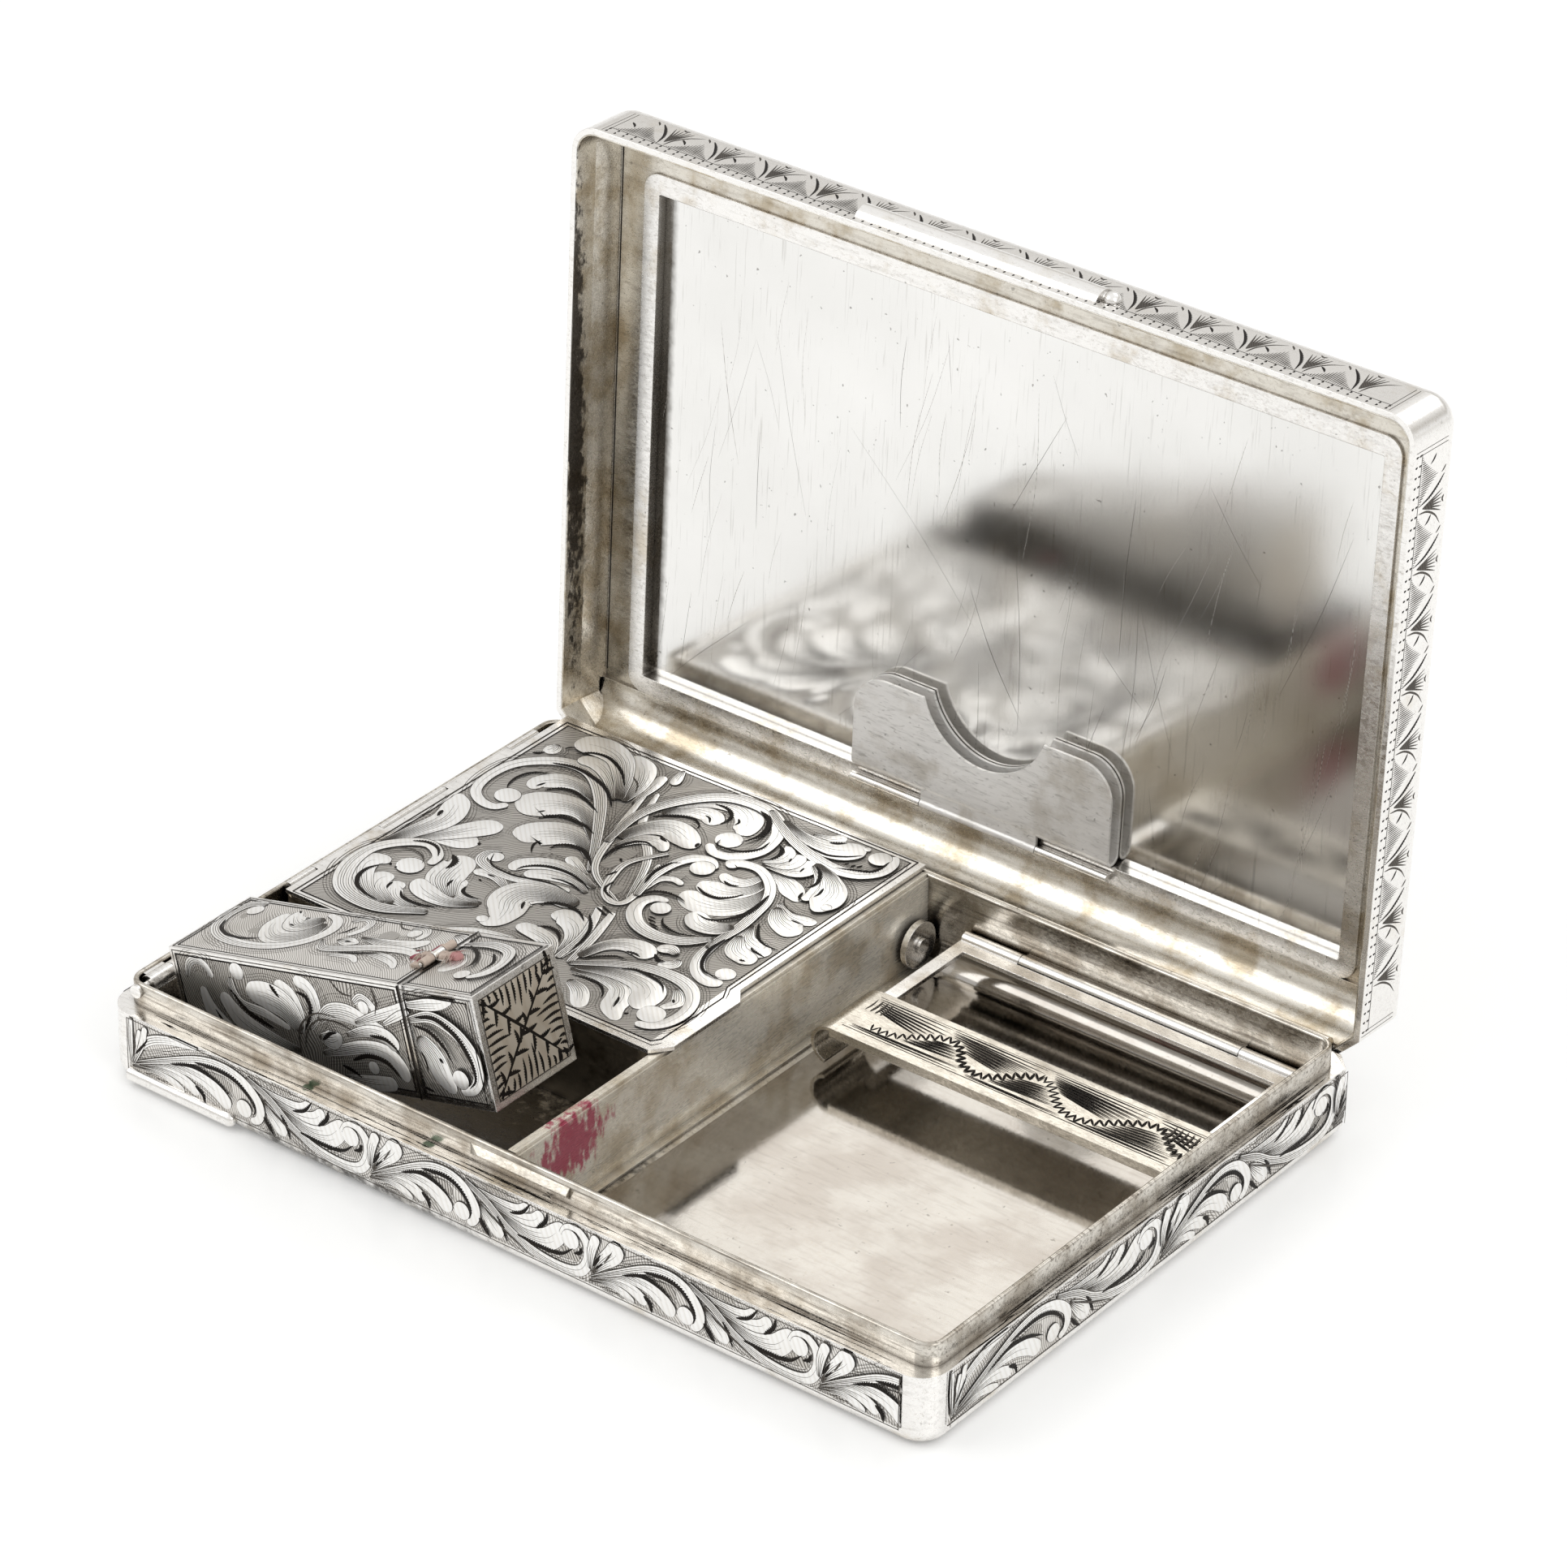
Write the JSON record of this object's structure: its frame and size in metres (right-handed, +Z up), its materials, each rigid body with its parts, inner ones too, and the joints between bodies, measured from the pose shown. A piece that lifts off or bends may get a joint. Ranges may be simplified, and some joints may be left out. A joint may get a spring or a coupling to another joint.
{
  "type": "vanity case",
  "caption": "Shallow hinged metal case with a lid mirror and clip, lidded powder box, sprung flip-top lipstick case and cigarette compartment with a hinged retainer strap.",
  "frame": {"origin": "centre of the flat underside of the base", "axes": "+X to the right along the width, seen from the open front; +Y back towards the hinge; +Z up"},
  "size_m": [0.132, 0.106, 0.1013],
  "materials": {
    "silver_polished": "polished silver, engraved and lightly tarnished",
    "silver_worn": "worn silver with a warm patina",
    "silver_bright": "bright rubbed silver",
    "mirror_plate": "scratched mirror",
    "lipstick": "waxy crimson"
  },
  "bodies": {
    "base": {"base_shell": "silver_polished", "base_bezel": "silver_worn", "snap_catch": "silver_worn", "low_thumb_bar": "silver_bright", "cigarette_liner": "silver_bright", "divider_wall": "silver_worn", "divider_rivet": "silver_worn", "divider_washer": "silver_worn", "powder_box": "silver_worn", "powder_pan": "silver_bright", "base_hinge_knuckles": "silver_polished", "main_hinge_pin": "silver_worn", "retainer_fixed_knuckle": "silver_worn", "retainer_hinge_pin": "silver_bright", "lipstick_fixed_knuckles": "silver_worn", "lipstick_hinge_pin": "silver_worn", "compact_fixed_knuckles": "silver_worn", "compact_hinge_pin": "silver_bright"},
    "lid": {"lid_shell": "silver_polished", "lid_lining": "silver_worn", "lid_hinge_knuckles": "silver_polished", "mirror_frame": "silver_bright", "mirror_glass": "mirror_plate", "lid_thumb_bar": "silver_bright", "clip_fixed_knuckles": "silver_bright", "clip_hinge_pin": "silver_bright"},
    "clip": {"clip_leaf": "silver_bright"},
    "powder_lid": {"compact_lid": "silver_polished"},
    "retainer": {"retainer_frame": "silver_worn", "retainer_strap": "silver_bright"},
    "lipstick_case": {"lipstick_body": "silver_polished", "lipstick_hinge_leaf": "silver_worn", "lipstick_tube": "silver_bright", "lipstick_cap_knuckles": "silver_worn", "lipstick_cap_pin": "silver_bright"},
    "lipstick_cap": {"lipstick_cap": "silver_polished"},
    "lipstick": {"lipstick_carrier": "silver_worn", "lipstick_stick": "lipstick"}
  },
  "joints": [
    {"name": "lid_hinge", "type": "hinge", "parent": "base", "child": "lid", "pos_m": [0, 0.04455, 0.0104], "axis": [-1, 0, 0], "range_deg": [-92.5, 0]},
    {"name": "lipstick_lift_hinge", "type": "hinge", "parent": "base", "child": "lipstick_case", "pos_m": [-0.0624, -0.031, 0.0126], "axis": [0, -1, 0], "range_deg": [-14.3, 0]},
    {"name": "powder_lid_hinge", "type": "hinge", "parent": "base", "child": "powder_lid", "pos_m": [-0.0629, 0.013, 0.01375], "axis": [0, -1, 0], "range_deg": [0, 92]},
    {"name": "retainer_hinge", "type": "hinge", "parent": "base", "child": "retainer", "pos_m": [0.03375, 0.0405, 0.0072], "axis": [-1, 0, 0], "range_deg": [0, 65]},
    {"name": "clip_hinge", "type": "hinge", "parent": "lid", "child": "clip", "pos_m": [0.0005, 0.05182, 0.01654], "axis": [1, 0, 0], "range_deg": [0, 50]},
    {"name": "lipstick_cap_hinge", "type": "hinge", "parent": "lipstick_case", "child": "lipstick_cap", "pos_m": [-0.02256, -0.031, 0.02797], "axis": [0, -1, 0], "range_deg": [0, 110]},
    {"name": "lipstick_slide", "type": "slide", "parent": "lipstick_case", "child": "lipstick", "axis": [0.969, 0, 0.247], "range_m": [0, 0.01]}
  ],
  "couplings": [
    {"joint": "lipstick_lift_hinge", "follows": "lid_hinge", "ratio": 0.1545}
  ]
}
